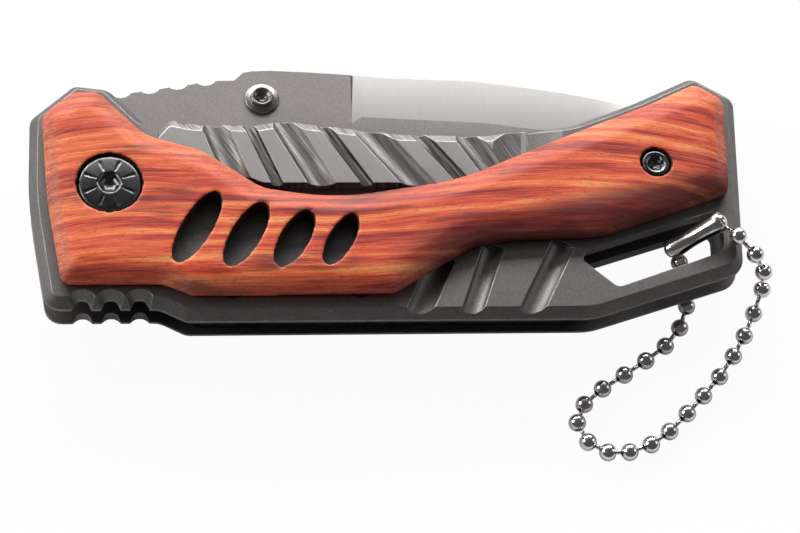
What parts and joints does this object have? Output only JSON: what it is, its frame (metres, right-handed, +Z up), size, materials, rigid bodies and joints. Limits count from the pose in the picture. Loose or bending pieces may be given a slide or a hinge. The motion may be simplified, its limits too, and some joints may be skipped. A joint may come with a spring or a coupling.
{
  "type": "folding pocket knife",
  "caption": "Folding pocket knife with a frame lock, wood scales, a thumb stud, a lanyard slot and a short ball chain, closed and lying flat.",
  "frame": {"origin": "on the blade pivot's axis, at the surface that the closed knife lies on", "axes": "+X along the handle towards its tail, +Y towards the open side that the blade swings out of, +Z up through the thickness"},
  "size_m": [0.1265, 0.0704, 0.0172],
  "materials": {
    "frame_metal": "fine bead blasted dark grey steel",
    "lock_bar_metal": "satin milled steel with soft flutes",
    "blade_steel": "satin grey flats with a lighter ground swedge",
    "red_wood": "red-orange striped hardwood, oiled, with rough bevels",
    "black_steel": "black oxide",
    "plain_steel": "turned steel",
    "bronze": "plain washer bronze",
    "chrome_chain": "bright nickel plate"
  },
  "bodies": {
    "handle": {"front_frame": "frame_metal", "rear_frame": "frame_metal", "back_spacer": "black_steel", "pivot_barrel": "black_steel", "pivot_screw": "black_steel", "front_washer": "bronze", "rear_washer": "bronze", "stop_pin": "plain_steel", "front_wood_scale": "red_wood", "rear_wood_scale": "red_wood", "tail_standoff": "plain_steel", "tail_screw_front": "black_steel", "tail_screw_rear": "black_steel", "spacer_screw_front_1": "black_steel", "spacer_screw_rear_1": "black_steel", "spacer_screw_front_2": "black_steel", "spacer_screw_rear_2": "black_steel", "chain_connector": "chrome_chain", "ball_chain": "chrome_chain"},
    "blade": {"blade": "blade_steel", "thumb_stud": "plain_steel", "thumb_stud_nut": "plain_steel"},
    "lock_bar": {"lock_bar": "lock_bar_metal", "detent_ball": "plain_steel"}
  },
  "joints": [
    {"name": "blade_pivot", "type": "hinge", "parent": "handle", "child": "blade", "pos_m": [0, 0, 0.0083], "axis": [0, 0, 1], "range_deg": [0, 180]},
    {"name": "lock_bar_flex", "type": "hinge", "parent": "handle", "child": "lock_bar", "pos_m": [0.0714, 0, 0.0108], "axis": [0, -1, 0], "range_deg": [0, 1.55]}
  ],
  "couplings": [
    {"joint": "lock_bar_flex", "follows": "blade_pivot", "ratio": 0.0086}
  ]
}
